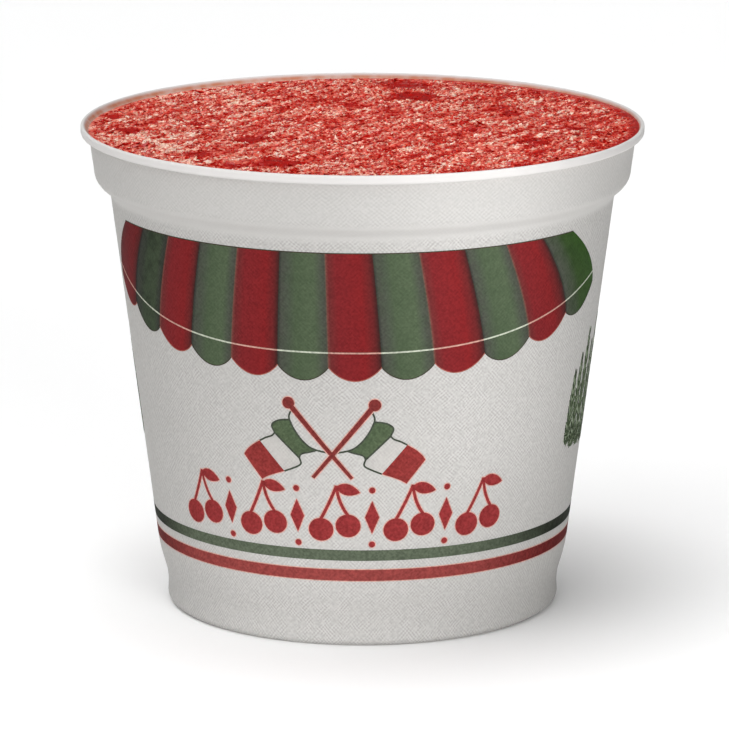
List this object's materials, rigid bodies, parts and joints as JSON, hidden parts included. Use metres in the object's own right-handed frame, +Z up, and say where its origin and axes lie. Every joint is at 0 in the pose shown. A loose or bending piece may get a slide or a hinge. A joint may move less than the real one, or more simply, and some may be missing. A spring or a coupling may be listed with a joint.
{
  "type": "cherry italian ice",
  "caption": "Single-serve plastic cup with a stepped collar and a small foot, filled to the rim with scraped red cherry ice.",
  "frame": {"origin": "centre of the circle that the cup stands on, at the surface", "axes": "+Z up along the cup's axis, from its foot to its rim; -Y is the side with the middle of the printed panel"},
  "size_m": [0.076, 0.076, 0.0659],
  "materials": {
    "cup_plastic": "satin white plastic with a fine linen grain, printed in red and green",
    "cherry_ice": "wet scraped cherry ice with frosty pale grains"
  },
  "bodies": {
    "root": {"cup": "cup_plastic", "ice": "cherry_ice"}
  },
  "joints": []
}
